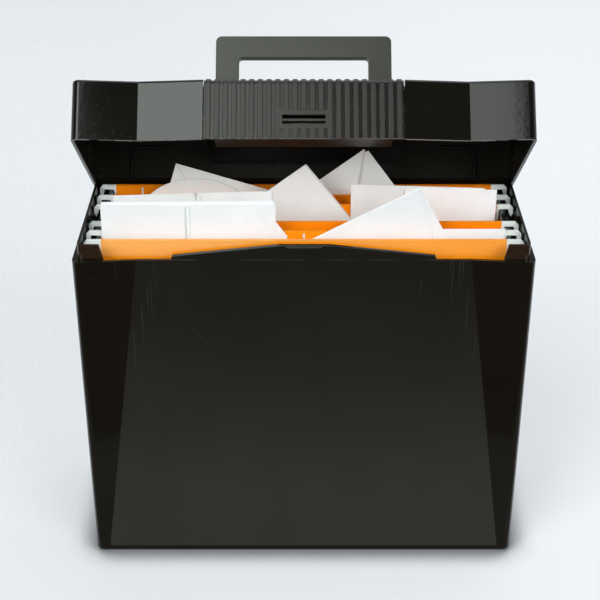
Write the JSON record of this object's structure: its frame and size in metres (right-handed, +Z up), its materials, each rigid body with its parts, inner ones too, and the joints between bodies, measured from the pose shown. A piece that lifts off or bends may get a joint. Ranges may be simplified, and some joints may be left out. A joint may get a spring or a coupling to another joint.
{
  "type": "portable file box",
  "caption": "Portable plastic file box with a hinged lid, latch and folding handle, holding hanging files with envelopes and papers.",
  "frame": {"origin": "middle of the box's footprint, on the floor it stands on", "axes": "+Z up, -Y towards the front with the latch, +X to the right seen from the front"},
  "size_m": [0.365, 0.1807, 0.4222],
  "materials": {
    "black_gloss_plastic": "gloss",
    "lid_gloss_plastic": "gloss",
    "latch_plastic": "satin",
    "handle_plastic": "satin",
    "black_wire": "satin",
    "orange_card": "matt",
    "white_plastic": "satin",
    "envelope_paper": "matt",
    "white_paper": "matt"
  },
  "bodies": {
    "box": {"box_body": "black_gloss_plastic"},
    "hinge_wire": {"hinge_wire": "black_wire"},
    "lid": {"lid_shell": "lid_gloss_plastic"},
    "latch": {"latch": "latch_plastic"},
    "handle": {"handle": "handle_plastic"},
    "front_file": {"front_file_card": "orange_card", "front_file_front_bar": "white_plastic", "front_file_rear_bar": "white_plastic"},
    "front_papers": {"front_back_sheet": "white_paper", "front_left_leaflet": "white_paper", "front_right_leaflet": "white_paper", "front_envelope": "envelope_paper"},
    "middle_file": {"middle_file_card": "orange_card", "middle_file_front_bar": "white_plastic", "middle_file_rear_bar": "white_plastic"},
    "middle_papers": {"middle_envelope": "envelope_paper", "middle_long_sheet": "white_paper", "middle_square_card": "white_paper"},
    "rear_file": {"rear_file_card": "orange_card", "rear_file_front_bar": "white_plastic", "rear_file_rear_bar": "white_plastic"},
    "rear_papers": {"rear_right_envelope": "envelope_paper", "rear_left_envelope": "envelope_paper"}
  },
  "joints": [
    {"name": "lid_closing", "type": "hinge", "parent": "box", "child": "hinge_wire", "pos_m": [0, 0.0698, 0.2782], "axis": [-1, 0, 0], "range_deg": [-39, 0]},
    {"name": "lid_opening", "type": "hinge", "parent": "hinge_wire", "child": "lid", "pos_m": [0, 0.0698, 0.2782], "axis": [-1, 0, 0], "range_deg": [0, 66]},
    {"name": "latch_pull", "type": "hinge", "parent": "lid", "child": "latch", "pos_m": [0, -0.00597, 0.40042], "axis": [-1, 0, 0], "range_deg": [0, 12]},
    {"name": "handle_fold", "type": "hinge", "parent": "lid", "child": "handle", "pos_m": [0, 0.02084, 0.3652], "axis": [-1, 0, 0], "range_deg": [0, 90]},
    {"name": "front_file_slide", "type": "slide", "parent": "box", "child": "front_file", "axis": [0, 1, 0], "range_m": [-0.008, 0.004]},
    {"name": "front_papers_tuck", "type": "slide", "parent": "front_file", "child": "front_papers", "axis": [0, 0, 1], "range_m": [-0.0341, 0]},
    {"name": "middle_file_slide", "type": "slide", "parent": "box", "child": "middle_file", "axis": [0, 1, 0], "range_m": [-0.006, 0.007]},
    {"name": "middle_papers_tuck", "type": "slide", "parent": "middle_file", "child": "middle_papers", "axis": [0, 0, 1], "range_m": [-0.0341, 0]},
    {"name": "rear_file_slide", "type": "slide", "parent": "box", "child": "rear_file", "axis": [0, 1, 0], "range_m": [-0.007, 0.003]},
    {"name": "rear_papers_tuck", "type": "slide", "parent": "rear_file", "child": "rear_papers", "axis": [0, 0, 1], "range_m": [-0.0341, 0]}
  ],
  "couplings": [
    {"joint": "front_papers_tuck", "follows": "lid_closing", "m_per_rad": 0.04995},
    {"joint": "middle_papers_tuck", "follows": "lid_closing", "m_per_rad": 0.04995},
    {"joint": "rear_papers_tuck", "follows": "lid_closing", "m_per_rad": 0.04995}
  ]
}
